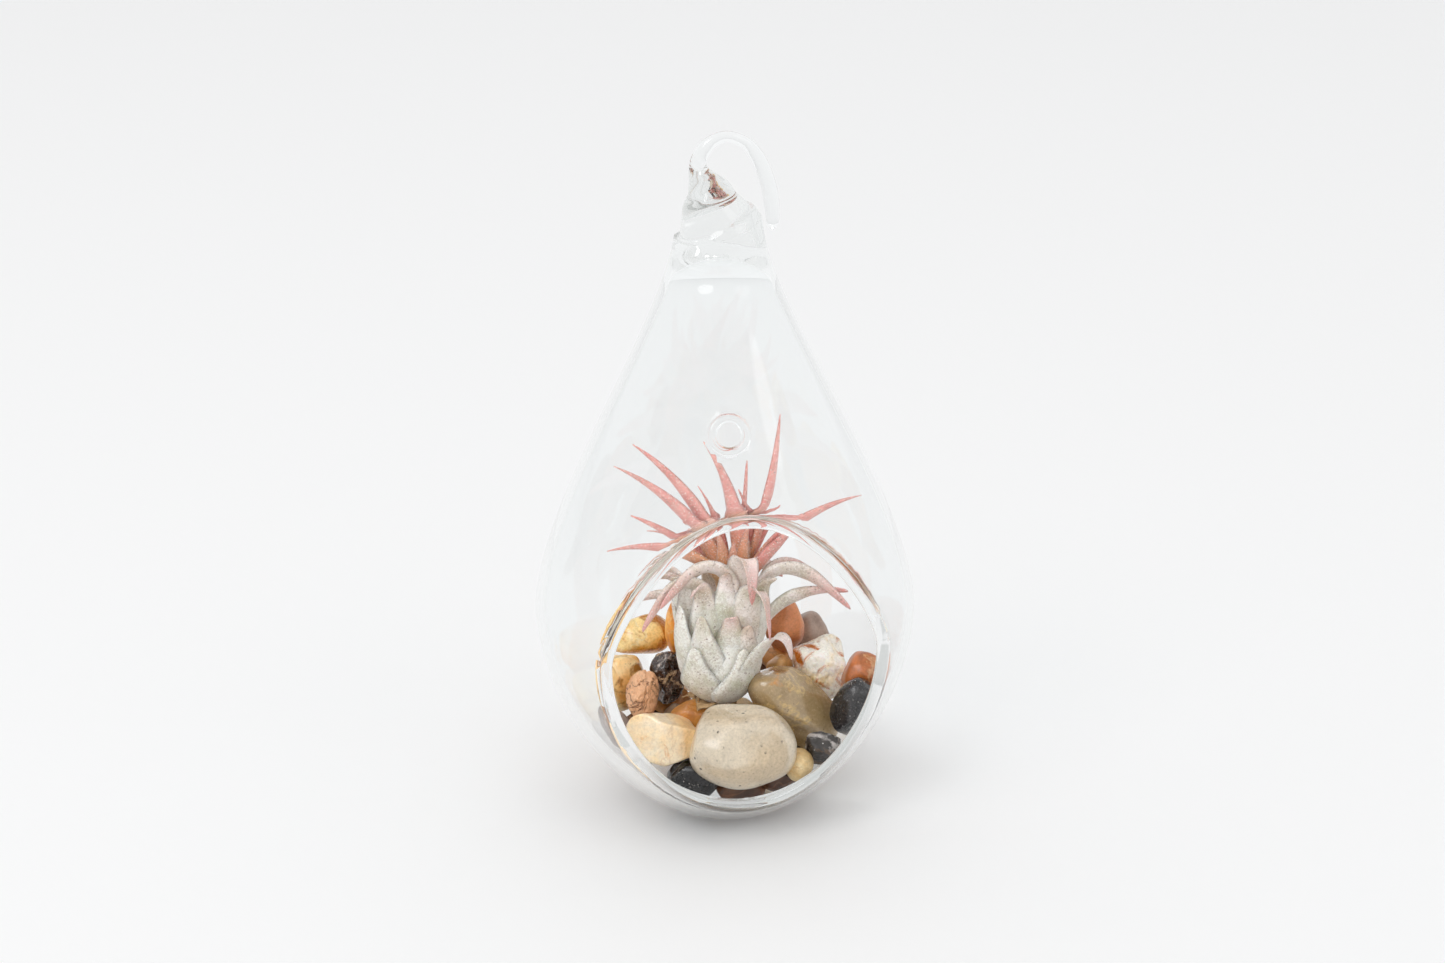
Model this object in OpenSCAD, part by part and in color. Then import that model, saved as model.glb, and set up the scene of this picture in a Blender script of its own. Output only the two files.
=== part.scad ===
// Teardrop terrarium: a blown clear glass drop on a small ground flat, drawn up into a solid
// neck and a hanging hook, open in front with a rolled rim, with a small round vent in the
// wall above the opening. A bed of polished stones lies in it, with one tufted air plant on top.
// Frame: millimetres, origin on the table under the middle of the glass, +Z up, opening to -Y.

/* [Glass] */
// outside diameter of the drop at its widest ring
body_d = 100; // [90:1:130]
// height of the widest ring above the table
belly_z = 60; // [54:1:72]
// height where the hollow drop ends in the solid neck
neck_z = 162; // [145:1:190]
// diameter of the solid neck
neck_d = 22.4; // [18:0.2:26]
// thickness of the blown wall
wall = 1.9; // [1.4:0.1:3]
// thickness of the glass under the hollow
base_t = 2; // [1.2:0.1:4]
// depth ground off the round bottom to make the flat
foot_cut = 2; // [1.2:0.1:4]

/* [Opening] */
// height of the lowest point of the front opening
open_low = 12.5; // [10:0.5:20]
// height of the highest point of the front opening
open_high = 99; // [90:0.5:105]
// thickness of the rolled rim round the opening
rim_d = 3.2; // [2.6:0.1:4.5]

/* [Vent] */
// height of the vent hole above the table
vent_z = 117; // [112:1:130]
// turn of the vent from the middle of the front, towards the left
vent_turn = 5; // [-10:1:10]
// clear diameter of the vent hole
vent_d = 6; // [4:0.5:10]
// thickness of the melted lip round the vent
vent_lip = 2.6; // [2.4:0.1:4]

/* [Hook] */
// height of the top bend above the neck, to the middle of the glass
hook_h = 23.4; // [20:0.2:32]

/* [Plant] */
// height of the tufted plant over its bulb
plant_size = 1; // [0.85:0.01:1.1]
// width of the leaves against their natural width
leaf_width = 1; // [0.8:0.01:1.2]

/* [Stones] */
// space left between one stone and the next or the glass
seat_gap = 0.12; // [0.05:0.01:0.3]
// size of the stones against their natural size
stone_size = 1; // [0.85:0.01:1.05]

/* [Hidden] */
body_r = body_d / 2;
neck_r = neck_d / 2;
up_h = neck_z - belly_z;
// half height of the round bottom, outside and inside
low_h = belly_z + foot_cut;
hollow_h = belly_z - base_t;
hollow_r = body_r - wall;
// roundness of the bottom, and the two powers that draw the shoulder in
low_n = 1.82;
up_p = 1.5;
up_q = 1.45;
// glass left solid over the hollow, and height of the dome that closes it
neck_solid = 4;
dome_h = 10;
hollow_top = neck_z - neck_solid;
dome_z = hollow_top - dome_h;
low_steps = 11;
up_steps = 13;
dome_steps = 5;
round_sides = 48;
cut_size = 400;

function sq(v) = v * v;
function sum(v, i = 0) = i < len(v) ? v[i] + sum(v, i + 1) : 0;
function lerp(a, b, t) = a + (b - a) * t;
function flat(rows) = [for (row = rows) each row];
function unit(v) = v / norm(v);

// outside and inside radius of the drop at a height
function low_r(z, r, h) = r * pow(max(0, 1 - pow(max(0, belly_z - z) / h, low_n)), 1 / low_n);
function up_r(z) = neck_r + (body_r - neck_r) * pow(max(0, 1 - pow((z - belly_z) / up_h, up_p)), up_q);
function outer_r(z) = z < belly_z ? low_r(z, body_r, low_h) : up_r(min(z, neck_z));
function dome(z) = z < dome_z ? 1 : sqrt(max(0, 1 - sq((z - dome_z) / (hollow_top - dome_z))));
function inner_r(z) = z < belly_z ? low_r(z, hollow_r, hollow_h) : (up_r(z) - wall) * dome(z);
function middle_r(z) = outer_r(z) - wall / 2;

// heights of the rings of the outside and of the hollow
function low_z(start) = [for (i = [0 : low_steps - 1]) belly_z - (belly_z - start) * cos(90 * i / low_steps)];
function even_z(a, b, n) = [for (i = [0 : n - 1]) lerp(a, b, i / n)];
outer_z = concat(low_z(0), even_z(belly_z, neck_z, up_steps), [neck_z]);
dome_rings = [for (i = [0 : dome_steps - 1]) dome_z + (hollow_top - dome_z) * sin(90 * i / dome_steps)];
inner_z = concat(low_z(base_t + 0.4), even_z(belly_z, dome_z, up_steps), dome_rings);

// the flat cut that opens the front, leaning with the wall
open_y0 = -outer_r(open_low);
open_y1 = -outer_r(open_high);
open_lean = (open_y1 - open_y0) / (open_high - open_low);
open_mid = (open_low + open_high) / 2;
open_tilt = atan(open_lean);
function cut_y(z) = open_y0 + (z - open_low) * open_lean;
// how far out from its middle the edge of the opening lies in one direction
function edge_over(t, a) = norm([t * sin(a), cut_y(open_mid + t * cos(a))]) - middle_r(open_mid + t * cos(a));
function edge_at(a, low, high, n) = n == 0 ? (low + high) / 2 :
    edge_over((low + high) / 2, a) > 0 ? edge_at(a, low, (low + high) / 2, n - 1) :
    edge_at(a, (low + high) / 2, high, n - 1);
rim_steps = 56;
rim_sides = 8;
rim_path = [for (i = [0 : rim_steps - 1]) let (a = 360 * i / rim_steps,
    t = edge_at(a, body_r / 3, body_r * 1.1, 16), z = open_mid + t * cos(a)) [t * sin(a), cut_y(z), z]];

// hook stations: across from the axis, height over the neck as a share of the hook's height,
// and half thickness as a share of the neck's
hook_stations = [[0, -0.13, 0.97], [0, 0, 0.97], [-1, 0.13, 0.81], [-1.9, 0.26, 0.68], [-2.7, 0.41, 0.52],
    [-4, 0.54, 0.34], [-5, 0.66, 0.215], [-4.8, 0.77, 0.18], [-3.2, 0.89, 0.17], [-1.2, 0.96, 0.145],
    [1.6, 1, 0.13], [4.4, 0.98, 0.13], [7.6, 0.9, 0.14], [9.8, 0.77, 0.16], [11.4, 0.62, 0.17],
    [12.6, 0.45, 0.18], [13.3, 0.28, 0.18], [13.6, 0.11, 0.16], [13.6, 0.01, 0.13], [13.6, -0.03, 0.07]];
hook_sides = 12;
hook_split = 2;
function station(i) = hook_stations[max(0, min(len(hook_stations) - 1, i))];
function spline(a, b, c, d, t) = 0.5 * (2 * b + (c - a) * t + (2 * a - 5 * b + 4 * c - d) * t * t
    + (3 * b - a - 3 * c + d) * t * t * t);
hook_rows = [for (i = [0 : len(hook_stations) - 2]) for (k = [0 : hook_split - 1])
    spline(station(i - 1), station(i), station(i + 1), station(i + 2), k / hook_split)];
hook_all = concat(hook_rows, [station(len(hook_stations) - 1)]);
hook_path = [for (row = hook_all) [row[0], 0, neck_z + hook_h * row[1]]];

// faces of a closed tube of rings, open round or joined end to start
function side_faces(rings, sides, closed) =
    [for (i = [0 : rings - (closed ? 1 : 2)]) for (k = [0 : sides - 1])
        let (j = (i + 1) % rings, m = (k + 1) % sides)
        each [[i * sides + k, i * sides + m, j * sides + m], [i * sides + k, j * sides + m, j * sides + k]]];
function end_faces(rings, sides) = [[for (k = [sides - 1 : -1 : 0]) k],
    [for (k = [0 : sides - 1]) (rings - 1) * sides + k]];

// stones: name, across, back, half sizes, turns, colour; in the order they were dropped in
grey_stone = [0.71, 0.67, 0.6];
tan_stone = [0.76, 0.6, 0.42];
cream_stone = [0.92, 0.83, 0.64];
brown_stone = [0.6, 0.42, 0.28];
dark_stone = [0.23, 0.22, 0.22];
stones = [
    ["bed_pebble_01", -7, 4, [8, 6.5, 5], [0, 0, 20], tan_stone],
    ["bed_pebble_02", 8, 4, [7.5, 6, 5], [0, 0, -50], cream_stone],
    ["bed_pebble_03", -21.5, 6, [6.5, 6, 6], [0, 0, 60], brown_stone],
    ["bed_pebble_04", 2, 17, [7.5, 5.5, 5], [0, 0, 0], grey_stone],
    ["bed_pebble_05", 21, 12, [6.5, 5.5, 5.5], [0, 0, 40], cream_stone],
    ["bed_pebble_06", -14, 19, [7, 5.5, 6.5], [0, 0, 20], tan_stone],
    ["bed_pebble_07", 19, -1, [5, 4.5, 3.5], [0, 0, 0], dark_stone],
    ["bed_pebble_08", 15.5, 24, [5.5, 5, 6], [0, 0, -20], brown_stone],
    ["bed_pebble_09", -2, 29, [6.5, 5.5, 5], [0, 0, 5], cream_stone],
    ["bed_pebble_10", 2, -9, [6, 5, 4.5], [0, 0, 5], brown_stone],
    ["bed_pebble_11", -11, -8, [5.5, 5, 4.5], [0, 0, 5], grey_stone],
    ["bed_pebble_12", 13, -9, [5.5, 5, 4.5], [0, 0, 5], tan_stone],
    ["glitter_pebble", -11.5, -18.5, [6.5, 4.5, 5], [0, 0, 0], dark_stone],
    ["small_cream_pebble", 15.5, -24, [3.5, 3.5, 4], [0, 0, 0], cream_stone],
    ["slate_pebble", -30.5, 0.5, [3.5, 5, 6], [0, -30, 0], grey_stone],
    ["grey_pebble", 1, -21, [13, 10.5, 8.5], [35, 0, 8], grey_stone],
    ["olive_pebble", 17.5, -4.5, [15, 7.5, 7.5], [0, 45, 0], brown_stone],
    ["sparkle_pebble", 22.5, -20.5, [4.5, 4, 4], [0, 0, 0], dark_stone],
    ["black_pebble", 32, -13, [5, 5, 8], [0, 25, 0], dark_stone],
    ["rust_pebble", 37, -4.5, [5, 5, 5], [0, 0, 0], tan_stone],
    ["mauve_pebble", 27, 24, [5.5, 5, 6.5], [0, 0, 0], grey_stone],
    ["yellow_pebble", -25.5, 18, [6.5, 6.5, 8], [0, -15, 0], cream_stone],
    ["bed_pebble_13", -4, 5, [5.5, 5, 4.5], [0, 0, 5], tan_stone],
    ["bed_pebble_14", 6, 10, [5.5, 5, 4.5], [0, 0, 5], cream_stone],
    ["bed_pebble_15", -9, -5, [5, 5, 4], [0, 0, 5], grey_stone],
    ["bed_pebble_16", 4.5, 24, [5, 5, 4.5], [0, 0, 5], brown_stone],
    ["bed_pebble_17", -6, 23, [5, 4.5, 4], [0, 0, 5], cream_stone],
    ["bed_pebble_18", 17, 19, [4.5, 4.5, 3.5], [0, 0, 5], tan_stone],
    ["bed_pebble_19", 14, 10, [4, 4, 4], [0, 0, 5], grey_stone],
    ["bed_pebble_20", 7, 33.5, [5, 4.5, 4.5], [0, 0, 5], tan_stone],
    ["dark_quartz_pebble", -13.5, 14.5, [5, 5.5, 6.5], [0, 0, 0], brown_stone],
    ["taupe_pebble", -13, 3, [4, 4, 4.5], [0, 0, 0], grey_stone],
    ["rough_pebble", -22, 6.5, [4.2, 4.5, 6.5], [-10, 10, 0], tan_stone],
    ["cream_pebble", -19.5, -13, [9.5, 7.5, 7.5], [20, 20, 0], cream_stone],
    ["caramel_pebble", -10, -3.5, [5, 4, 4], [0, 0, 0], tan_stone],
    ["quartz_pebble", 26, 5.5, [6.5, 7, 8], [-20, 0, 0], cream_stone],
    ["small_tan_pebble", 16, 8, [3.5, 3.5, 3.5], [0, 0, 0], tan_stone],
    ["brown_pebble", 19, 17.5, [5, 5, 7.5], [0, 0, 0], brown_stone],
    ["amber_pebble", -19.5, 30, [9, 5, 5.5], [0, 0, 0], cream_stone],
    ["orange_pebble", -8.5, 20.5, [5, 4.5, 9], [0, 0, 0], tan_stone],
];
bulb = ["bulb", -0.5, 1.5, [9.5, 9.5, 14], [0, 8, 0], grey_stone];
// the bed keeps its layout when the glass grows or shrinks from the hollow it was laid out in
layout_r = 48.1;
bed_k = hollow_r / layout_r;

function turn_x(a) = [[1, 0, 0], [0, cos(a), -sin(a)], [0, sin(a), cos(a)]];
function turn_y(a) = [[cos(a), 0, sin(a)], [0, 1, 0], [-sin(a), 0, cos(a)]];
function turn_z(a) = [[cos(a), -sin(a), 0], [sin(a), cos(a), 0], [0, 0, 1]];
function turned(r) = turn_z(r[2]) * turn_y(r[1]) * turn_x(r[0]);
function weighed(m, w) = [for (i = [0 : 2]) [for (j = [0 : 2])
    sum([for (k = [0 : 2]) m[i][k] * m[j][k] * w[k]])]];

// a body ready to drop: place, shape matrix and half widths across and back
function ready(s, k) = let (m = turned(s[4]), h = s[3] * k, a = weighed(m, [for (v = h) 1 / sq(v)]),
    e = weighed(m, [for (v = h) sq(v)])) [s[1] * bed_k, s[2] * bed_k, a, sqrt(e[0][0]), sqrt(e[1][1])];
// height of its top or under side over its middle at an offset, or none outside it
function skin(a, dx, dy, side) = let (b = a[0][2] * dx + a[1][2] * dy,
    c = a[0][0] * dx * dx + 2 * a[0][1] * dx * dy + a[1][1] * dy * dy - 1, d = b * b - a[2][2] * c)
    d < 0 ? undef : (side * sqrt(d) - b) / a[2][2];
// floor of the hollow, raised by as much as its straight steps stand in from the curve
step_in = hollow_r * (1 - cos(45 / low_steps));
function floor_z(r) = step_in + (r >= hollow_r ? belly_z :
    belly_z - hollow_h * pow(1 - pow(r / hollow_r, low_n), 1 / low_n));
// height its middle must have so that it clears all that lies below one point of it
function lift_at(s, near, u, v) = let (x = s[0] + s[3] * u, y = s[1] + s[4] * v,
    under = skin(s[2], s[3] * u, s[4] * v, -1)) is_undef(under) ? 0 :
    max([for (o = near) let (t = skin(o[2], x - o[0], y - o[1], 1)) if (!is_undef(t)) o[5] + t,
        floor_z(norm([x, y]))]) - under;
function best(rows) = let (top = max([for (r = rows) r[0]])) [for (r = rows) if (r[0] >= top) r][0];
function refine(s, near, at, step, n) = n == 0 ? at[0] :
    refine(s, near, best([for (i = [-1 : 1]) for (j = [-1 : 1])
        let (u = at[1] + i * step, v = at[2] + j * step) [lift_at(s, near, u, v), u, v]]), step / 2, n - 1);
// first search steps each way over a stone, and how often they are then halved
coarse = 4;
halvings = 4;
function seated(s, done) = let (near = [for (o = done) if (abs(o[0] - s[0]) < o[3] + s[3]
    && abs(o[1] - s[1]) < o[4] + s[4]) o],
    at = best([for (i = [-coarse : coarse]) for (j = [-coarse : coarse])
        [lift_at(s, near, i / coarse, j / coarse), i / coarse, j / coarse]]))
    refine(s, near, at, 0.5 / coarse, halvings) + seat_gap;
function settle(i, done) = i == len(stones) ? done :
    let (s = ready(stones[i], bed_k * stone_size))
    settle(i + 1, concat(done, [concat(s, [seated(s, done)])]));
bed = settle(0, []);
bulb_z = seated(ready(bulb, plant_size), bed);

// a round stone of rings between two poles, with more sides on the larger ones
fine_from = 9;
function sides_of(h) = max(h) > fine_from ? 16 : 12;
function rings_of(h) = sides_of(h) / 2;
function ball(h) = let (n = sides_of(h), m = rings_of(h)) concat([[0, 0, -h[2]]],
    [for (i = [1 : m]) for (k = [0 : n - 1]) let (p = 180 * i / (m + 1) - 90, a = 360 * k / n)
        [h[0] * cos(p) * cos(a), h[1] * cos(p) * sin(a), h[2] * sin(p)]], [[0, 0, h[2]]]);
function ball_faces(h) = let (n = sides_of(h), m = rings_of(h), top = n * m + 1) concat(
    [for (k = [0 : n - 1]) [0, 1 + k, 1 + (k + 1) % n]],
    [for (f = side_faces(m, n, false)) [f[0] + 1, f[2] + 1, f[1] + 1]],
    [for (k = [0 : n - 1]) [top, top - n + (k + 1) % n, top - n + k]]);

// body of the plant: rows of twelve points round its leaning axis, at these heights
body_sides = 12;
body_rows = [1, 2.5, 4.5, 7, 10, 13.5, 17, 20.5, 24, 27, 30, 32.5, 35];
body_top = 38;
// how fast the body draws in above the bulb
draw_in = 1.1;
function bulb_r(h) = let (b = bulb[3]) h < b[2] ? b[0] * sqrt(1 - sq(1 - h / b[2])) :
    b[0] * pow(1 - sq((h - b[2]) / (body_top - b[2])), draw_in);
// leaves: column and row of the body they grow from, direction, tilt at the root and at the
// tip, length, width, and how late along its length the leaf bends
leaves = [
    [0, 11, 10, 22, 8, 50, 6.5, 0.6],
    [8, 11, 225, 2, 30, 48, 6, 1.2],
    [6, 11, 175, 14, 44, 48, 6, 1],
    [6, 10, 190, 20, 50, 46, 6, 1.1],
    [4, 11, 150, 6, 28, 27, 4.5, 1.3],
    [2, 11, 55, 14, 10, 33, 5, 1],
    [3, 10, 85, 16, 8, 29, 4.5, 1],
    [11, 10, 352, 32, 58, 39, 7, 1],
    [5, 9, 170, 34, 52, 29, 6.5, 0.8],
    [7, 9, 205, 34, 84, 39, 6.5, 1.1],
    [4, 10, 155, 28, 74, 22, 5, 1.2],
    [5, 8, 165, 50, 105, 20, 6.5, 1],
    [6, 8, 190, 46, 165, 21, 7.5, 1],
    [7, 7, 215, 40, 150, 15, 7.5, 1],
    [0, 8, 5, 40, 155, 30, 7.5, 1],
    [11, 8, 335, 38, 106, 30, 7.5, 1],
    [9, 9, 280, 16, 170, 20, 8, 1.3],
    [10, 7, 300, 22, 178, 21, 8.5, 1.3],
    [8, 4, 262, 29, 120, 17, 10, 2],
    [11, 4, 334, 38, 118, 17, 8.5, 1.4],
    [9, 2, 285, 50, 100, 12, 10, 1],
    [6, 3, 200, 40, 10, 18, 10, 1],
    [5, 5, 165, 32, 20, 13, 9, 0.7],
    [7, 5, 232, 36, 18, 9, 8, 1],
    [0, 4, 18, 42, 18, 14, 8, 0.8],
    [10, 5, 315, 26, 14, 11, 8, 1],
    [2, 4, 75, 34, 20, 22, 9, 1],
    [4, 4, 135, 34, 16, 20, 9, 1],
    [1, 9, 45, 36, 85, 24, 7, 1],
    [4, 9, 130, 40, 90, 22, 6.5, 1],
    [2, 9, 80, 40, 110, 22, 7, 1],
];
leaf_rings = 7;
leaf_sides = 4;
bulb_axis = turned(bulb[4]) * [0, 0, 1];
bulb_low = [bulb[1] * bed_k, bulb[2] * bed_k, bulb_z] - bulb_axis * bulb[3][2] * plant_size;
function body_point(i, k) = let (h = body_rows[i], a = 360 * k / body_sides)
    bulb_low + plant_size * (turned(bulb[4]) * [bulb_r(h) * cos(a), bulb_r(h) * sin(a), h]);
function body_index(i, k) = 1 + i * body_sides + k % body_sides;
// the four body points that a leaf grows from
function root_ids(f) = [body_index(f[1] + 1, f[0] + 1), body_index(f[1], f[0] + 1), body_index(f[1], f[0]),
    body_index(f[1] + 1, f[0])];
function leaf_start(f) = (body_point(f[1], f[0]) + body_point(f[1] + 1, f[0] + 1)) / 2;
function leaf_tilt(f, t) = f[3] + (f[4] - f[3]) * pow(t, f[7]);
function away(f, t) = let (a = leaf_tilt(f, t)) [sin(a) * cos(f[2]), sin(a) * sin(f[2]), cos(a)];
function leaf_step(f, i) = away(f, (i + 0.5) / leaf_rings) * f[5] * plant_size / (leaf_rings - 1);
function leaf_line(f, i, at) = i == leaf_rings ? [] : concat([at], leaf_line(f, i + 1, at + leaf_step(f, i)));
// half width and thickness run out to the tip, and the edges stand up beside the keel
tip_share = 0.05;
taper = 0.7;
tip_thick = 0.4;
root_thick = 1.3;
edge_rise = 0.25;
keel_share = 0.45;
function root_in(t) = min(1, 0.5 + 1.6 * t);
function leaf_half(f, t) = leaf_width * f[6] / 2 * root_in(t) * lerp(tip_share, 1, pow(1 - t, taper))
    * (0.7 + 0.3 * sin(180 * min(1, t + 0.25)));
function leaf_ring(f, at, t) = let (w = leaf_half(f, t), h = lerp(root_thick, tip_thick, t) / 2,
    e = [-sin(f[2]), cos(f[2]), 0], n = cross(e, away(f, t)))
    [at + (e - n * edge_rise) * w, at + e * w * keel_share + n * h,
        at - e * w * keel_share + n * h, at - (e + n * edge_rise) * w];
// one leaf's rings past its root, and the faces that tie them to the body and close the tip
function leaf_points(f) = let (line = leaf_line(f, 0, leaf_start(f)))
    flat([for (i = [1 : leaf_rings - 1]) leaf_ring(f, line[i], i / (leaf_rings - 1))]);
per_leaf = (leaf_rings - 1) * leaf_sides;
function leaf_ids(f, first) = concat(root_ids(f), [for (i = [0 : per_leaf - 1]) first + i]);
leaf_skin = concat(side_faces(leaf_rings, leaf_sides, false), [end_faces(leaf_rings, leaf_sides)[1]]);
function leaf_faces(f, first) = let (ids = leaf_ids(f, first)) [for (t = leaf_skin) [for (v = t) ids[v]]];
// the body's own points and faces, left open where a leaf grows
row_count = len(body_rows);
body_points = concat([bulb_low],
    [for (i = [0 : row_count - 1]) for (k = [0 : body_sides - 1]) body_point(i, k)],
    [bulb_low + bulb_axis * body_top * plant_size]);
function is_root(i, k) = len([for (f = leaves) if (f[0] == k && f[1] == i) f]) > 0;
body_faces = concat(
    [for (k = [0 : body_sides - 1]) [0, body_index(0, k), body_index(0, k + 1)]],
    [for (i = [0 : row_count - 2]) for (k = [0 : body_sides - 1]) if (!is_root(i, k))
        let (a = body_index(i, k), b = body_index(i, k + 1),
            c = body_index(i + 1, k + 1), d = body_index(i + 1, k))
        each [[a, c, b], [a, d, c]]],
    [for (k = [0 : body_sides - 1]) [len(body_points) - 1, body_index(row_count - 1, k + 1),
        body_index(row_count - 1, k)]]);

// the hollow drop as one turned wall
module shell() {
    outer = [for (z = outer_z) [outer_r(z), z]];
    inner = [for (z = inner_z) [inner_r(z), z]];
    difference() {
        rotate_extrude($fn = round_sides)
            polygon(concat([[0, 0]], outer, [[0, neck_z]]));
        rotate_extrude($fn = round_sides)
            polygon(concat([[0, base_t]], inner, [[0, hollow_top]]));
    }
}

// everything in front of the leaning flat cut
module front_cut() {
    translate([0, open_y0, open_low])
        rotate([-open_tilt, 0, 0])
            translate([-cut_size / 2, -cut_size, -cut_size / 2])
                cube(cut_size);
}

// rolled rim that follows the oval edge of the cut
module rim() {
    across = [0, cos(open_tilt), -sin(open_tilt)];
    points = flat([for (i = [0 : rim_steps - 1])
        let (along = unit(rim_path[(i + 1) % rim_steps] - rim_path[(i + rim_steps - 1) % rim_steps]),
            out = unit(cross(across, along)))
        [for (k = [0 : rim_sides - 1]) rim_path[i]
            + rim_d / 2 * (cos(360 * k / rim_sides) * across + sin(360 * k / rim_sides) * out)]]);
    polyhedron(points, side_faces(rim_steps, rim_sides, true));
}

// drawn out hook of solid glass above the neck
module hook() {
    count = len(hook_path);
    points = flat([for (i = [0 : count - 1])
        let (along = unit(hook_path[min(count - 1, i + 1)] - hook_path[max(0, i - 1)]),
            out = cross(along, [0, 1, 0]))
        [for (k = [0 : hook_sides - 1]) let (a = 360 * k / hook_sides)
            hook_path[i] + neck_r * hook_all[i][2] * (cos(a) * out + [0, sin(a), 0])]]);
    polyhedron(points, concat(side_faces(count, hook_sides, false), end_faces(count, hook_sides)));
}

// turns a shape drawn along +Z to stand square out of the wall at the vent
module at_vent() {
    tilt = atan2(outer_r(vent_z - 1) - outer_r(vent_z + 1), 2);
    rotate([0, 0, -vent_turn])
        translate([0, -middle_r(vent_z), vent_z])
            rotate([90 - tilt, 0, 0])
                children();
}

module glass_vessel() {
    color([0.85, 0.9, 0.92, 0.35])
        difference() {
            union() {
                difference() {
                    shell();
                    front_cut();
                }
                rim();
                hook();
                at_vent()
                    rotate_extrude($fn = round_sides)
                        translate([(vent_d + vent_lip) / 2, 0])
                            circle(d = vent_lip, $fn = round_sides);
            }
            at_vent()
                cylinder(d = vent_d, h = body_d / 4, center = true, $fn = round_sides);
        }
}

// the whole plant as one skin: the body with every leaf drawn out of it
module air_plant() {
    color([0.66, 0.68, 0.6])
        polyhedron(concat(body_points, flat([for (f = leaves) leaf_points(f)])),
            concat(body_faces, flat([for (j = [0 : len(leaves) - 1])
                leaf_faces(leaves[j], len(body_points) + j * per_leaf)])));
}

module stone(i) {
    half = stones[i][3] * bed_k * stone_size;
    color(stones[i][5])
        translate([bed[i][0], bed[i][1], bed[i][5]])
            rotate(stones[i][4])
                polyhedron(ball(half), ball_faces(half));
}

glass_vessel();
air_plant();
for (i = [0 : len(stones) - 1]) stone(i);
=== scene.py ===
import math
import random

import bmesh
import bpy
from mathutils import Matrix, Vector, noise


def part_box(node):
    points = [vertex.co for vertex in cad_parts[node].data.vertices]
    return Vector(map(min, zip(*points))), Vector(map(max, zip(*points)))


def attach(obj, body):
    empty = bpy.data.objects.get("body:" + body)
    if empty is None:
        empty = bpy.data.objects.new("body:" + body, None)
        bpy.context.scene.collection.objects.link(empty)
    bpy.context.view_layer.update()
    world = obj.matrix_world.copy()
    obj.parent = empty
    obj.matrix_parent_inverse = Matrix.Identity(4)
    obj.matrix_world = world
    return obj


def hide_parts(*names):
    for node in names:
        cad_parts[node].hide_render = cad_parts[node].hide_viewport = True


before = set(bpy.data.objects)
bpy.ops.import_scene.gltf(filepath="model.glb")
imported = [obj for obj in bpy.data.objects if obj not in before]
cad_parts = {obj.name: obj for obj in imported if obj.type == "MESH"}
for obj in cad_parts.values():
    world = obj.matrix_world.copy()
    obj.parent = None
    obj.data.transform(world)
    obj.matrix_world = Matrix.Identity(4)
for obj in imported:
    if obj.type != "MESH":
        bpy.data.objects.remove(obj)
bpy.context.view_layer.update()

mm = 0.001

# the glass in millimetres as in the solids, then the powers that round it, then how finely it is drawn
glassSizes = {
    "bodyR": 50.0, "bellyZ": 60.0, "neckZ": 162.0, "neckR": 11.2, "wall": 1.9,
    "baseT": 2.0, "footCut": 2.0, "openLow": 12.5, "openHigh": 99.0, "rimD": 3.2,
    "ventZ": 117.0, "ventTurn": 5.0, "ventD": 6.0, "ventLip": 2.6, "hookH": 23.4,
    "thicken": 14.0, "neckSolid": 4, "domeStop": 4.06, "lowPower": 1.82, "upPower": 1.5, "upTaper": 1.45,
    "sides": 128, "lowRows": 34, "upRows": 50, "innerRows": 44, "domeRows": 10, "hookSplit": 7,
    "rimPoints": 176, "rimTurns": 16, "rimLeast": 15.0, "rimMost": 56.0, "rimHalvings": 24,
    "ventSides": 72, "lipSides": 24, "drillLong": 12,
}


def lowerR(z, r, h):
    s = glassSizes
    return r * max(0.0, 1 - (max(0.0, s["bellyZ"] - z) / h) ** s["lowPower"]) ** (1 / s["lowPower"])


def upperR(z):
    s = glassSizes
    part = max(0.0, (z - s["bellyZ"]) / (s["neckZ"] - s["bellyZ"]))
    return s["neckR"] + (s["bodyR"] - s["neckR"]) * max(0.0, 1 - part ** s["upPower"]) ** s["upTaper"]


def outerR(z):
    s = glassSizes
    if z < s["bellyZ"]:
        return lowerR(z, s["bodyR"], s["bellyZ"] + s["footCut"])
    return upperR(min(z, s["neckZ"]))


def innerR(z):
    s = glassSizes
    if z < s["bellyZ"]:
        return lowerR(z, s["bodyR"] - s["wall"], s["bellyZ"] - s["baseT"])
    domeZ, topZ = s["neckZ"] - s["thicken"], s["neckZ"] - s["neckSolid"]
    dome = 1.0 if z < domeZ else math.sqrt(max(0.0, 1 - ((z - domeZ) / (topZ - domeZ)) ** 2))
    return (upperR(z) - s["wall"]) * dome


def newPiece(name, bm, material, smooth=True):
    mesh = bpy.data.meshes.new(name)
    if smooth:
        for face in bm.faces:
            face.smooth = True
    bm.to_mesh(mesh)
    bm.free()
    piece = bpy.data.objects.new(name, mesh)
    bpy.context.scene.collection.objects.link(piece)
    if material:
        mesh.materials.append(material)
    return piece


def firstLoop(bm, places):
    made = bmesh.ops.create_circle(bm, segments=len(places), radius=1.0)
    loop = list(made["verts"])
    for vert, place in zip(loop, places):
        vert.co = place
    return loop


def loopEdges(bm, loop):
    return [bm.edges.get((loop[i], loop[(i + 1) % len(loop)])) for i in range(len(loop))]


def drawOn(bm, loop, places):
    # extrudes the loop's edges and moves the new loop into place
    made = bmesh.ops.extrude_edge_only(bm, edges=loopEdges(bm, loop))
    fresh = {v for v in made["geom"] if isinstance(v, bmesh.types.BMVert)}
    following = []
    for vert, place in zip(loop, places):
        ahead = next(e.other_vert(vert) for e in vert.link_edges if e.other_vert(vert) in fresh)
        ahead.co = place
        following.append(ahead)
    return following


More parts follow.
